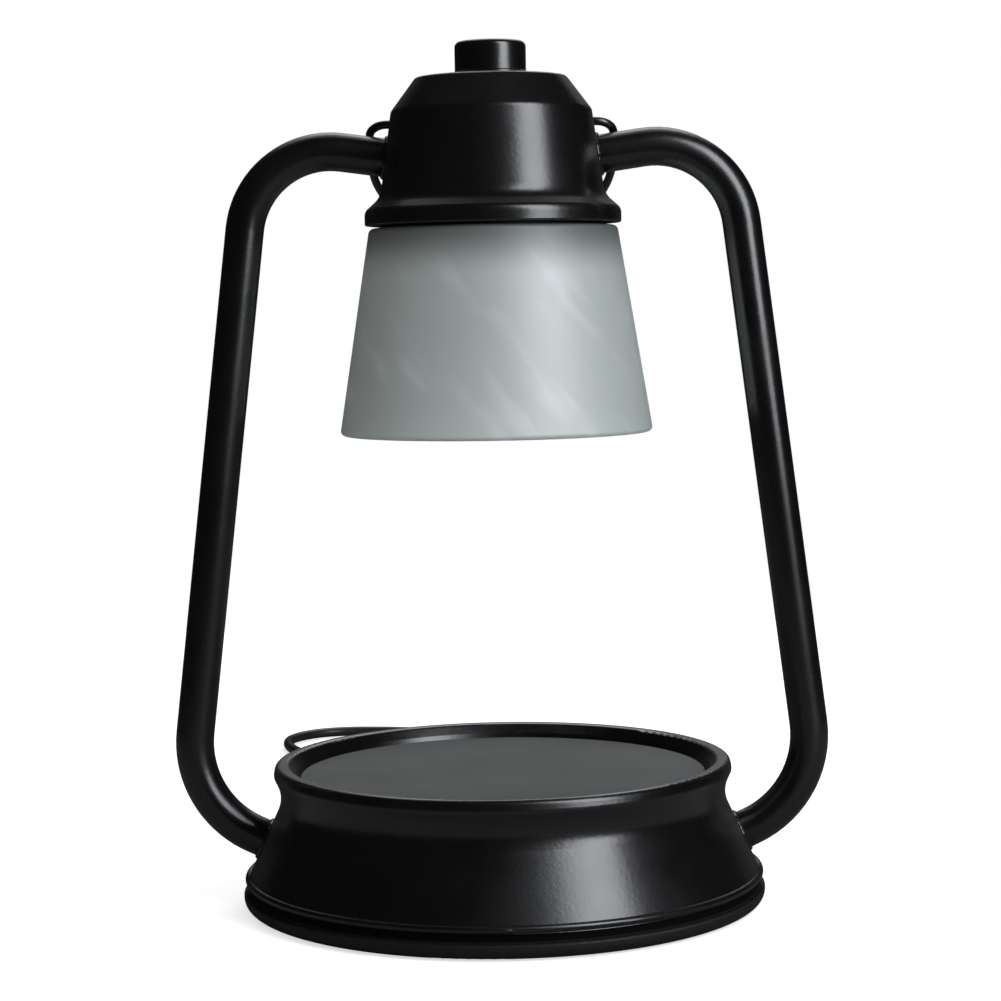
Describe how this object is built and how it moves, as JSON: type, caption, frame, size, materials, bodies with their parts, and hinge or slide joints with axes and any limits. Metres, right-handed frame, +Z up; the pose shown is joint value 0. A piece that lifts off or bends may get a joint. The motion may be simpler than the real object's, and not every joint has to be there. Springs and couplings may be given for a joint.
{
  "type": "candle warmer lamp",
  "caption": "Lantern-shaped candle warmer lamp with a dished round base, bent tube arms, a dimmer knob, a frosted glass shade over a halogen bulb and a wire bail.",
  "frame": {"origin": "centre of the foot ring's underside, on the surface that the lamp stands on", "axes": "+Z up along the lamp's centreline; +X towards the right arm as seen from the front, which faces -Y; the cord leaves the base towards +Y"},
  "size_m": [0.2059, 0.4061, 0.2685],
  "materials": {
    "black_coat": "satin black powder coat",
    "plate_coat": "matte dark grey paint",
    "dark_rubber": "moulded, matte",
    "weight_iron": "as cast",
    "zinc_steel": "zinc plated",
    "shade_glass": "frosted",
    "clear_glass": "clear",
    "reflector": "mirror-coated glass",
    "ceramic": "unglazed steatite",
    "contact_brass": "plain",
    "black_plastic": "moulded, matte",
    "white_plastic": "moulded polyamide",
    "cord_jacket": "smooth satin black cord jacket"
  },
  "bodies": {
    "stand": {"base_shell": "black_coat", "top_plate": "plate_coat", "bottom_cover": "black_coat", "foot_ring": "dark_rubber", "cover_posts": "zinc_steel", "cover_screws": "zinc_steel", "counterweight": "weight_iron", "cord_clamp": "black_plastic", "clamp_screws": "zinc_steel", "junction_block": "white_plastic", "terminal_screws": "contact_brass", "block_screw": "zinc_steel", "strain_relief": "dark_rubber", "supply_lead": "cord_jacket", "lamp_lead": "cord_jacket", "switch_leads": "cord_jacket", "left_arm": "black_coat", "right_arm": "black_coat", "head_studs": "zinc_steel", "head_washers": "zinc_steel", "head_nuts": "zinc_steel", "base_studs": "zinc_steel", "base_washers": "zinc_steel", "base_nuts": "zinc_steel", "head_housing": "black_coat", "lamp_bracket": "zinc_steel", "lamp_holder": "ceramic", "holder_screws": "zinc_steel", "bulb_neck": "ceramic", "bulb_pins": "contact_brass", "bulb_reflector": "reflector", "bulb_capsule": "clear_glass", "bulb_lens": "clear_glass", "shade_gallery": "black_coat", "shade_gasket": "dark_rubber", "glass_shade": "shade_glass", "shade_ring": "black_plastic", "dimmer_body": "black_plastic", "dimmer_bushing": "contact_brass", "bushing_washer": "zinc_steel", "bushing_nut": "zinc_steel", "power_cord": "cord_jacket", "cord_coil": "cord_jacket", "cord_tie": "dark_rubber", "cord_tail": "cord_jacket", "plug_body": "black_plastic", "plug_blades": "contact_brass"},
    "knob": {"knob": "black_coat", "dimmer_shaft": "zinc_steel"},
    "bail": {"bail_wire": "black_coat"}
  },
  "joints": [
    {"name": "knob_turn", "type": "hinge", "parent": "stand", "child": "knob", "pos_m": [0, 0, 0.258], "axis": [0, 0, -1], "range_deg": [0, 300]},
    {"name": "bail_swing", "type": "hinge", "parent": "stand", "child": "bail", "pos_m": [0, 0, 0.2435], "axis": [1, 0, 0], "range_deg": [0, 253]}
  ]
}
